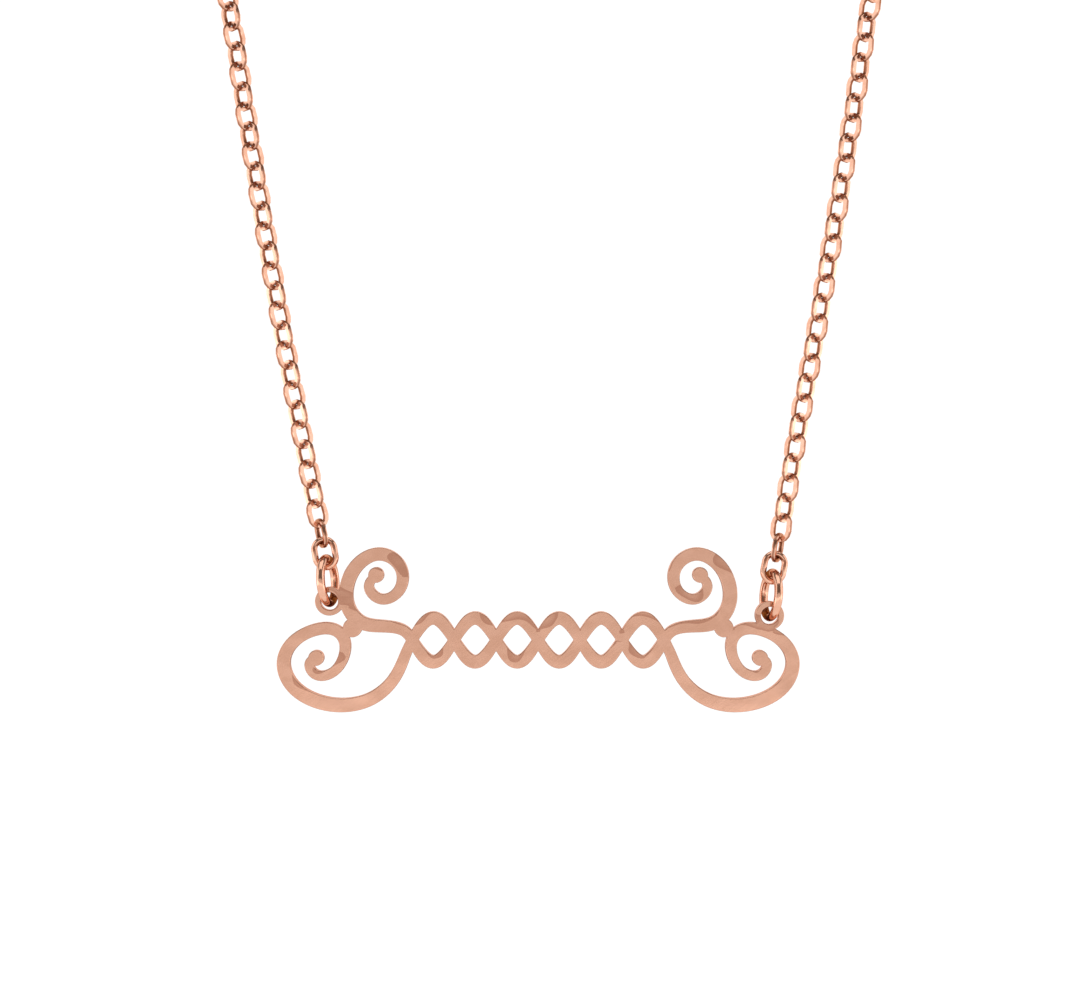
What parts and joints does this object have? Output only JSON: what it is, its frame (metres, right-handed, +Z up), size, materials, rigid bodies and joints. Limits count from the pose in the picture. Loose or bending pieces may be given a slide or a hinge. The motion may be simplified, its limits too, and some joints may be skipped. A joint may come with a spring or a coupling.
{
  "type": "nameplate necklace",
  "caption": "Fine cable chain necklace with a pierced scrollwork plate hung from jump rings at both ends, closed by a clasp at the nape.",
  "frame": {"origin": "on the chain's centre line at the nape of the neck, in the middle of the clasp and its ring", "axes": "+Z up along the neck, +X to the right as the plate's face is seen, -Y the way the plate's face looks"},
  "size_m": [0.0976, 0.0961, 0.1121],
  "materials": {
    "plate_rose_gold": "polished rose gold plating on a cut sheet",
    "wire_rose_gold": "polished rose gold plating on round wire",
    "chain_rose_gold": "polished rose gold plating on flat-sided links"
  },
  "bodies": {
    "root": {"nameplate": "plate_rose_gold", "jump_ring_left": "wire_rose_gold", "jump_ring_right": "wire_rose_gold", "connecting_ring_left": "wire_rose_gold", "connecting_ring_right": "wire_rose_gold", "chain_left": "chain_rose_gold", "chain_right": "chain_rose_gold", "clasp": "wire_rose_gold", "end_ring": "wire_rose_gold"}
  },
  "joints": []
}
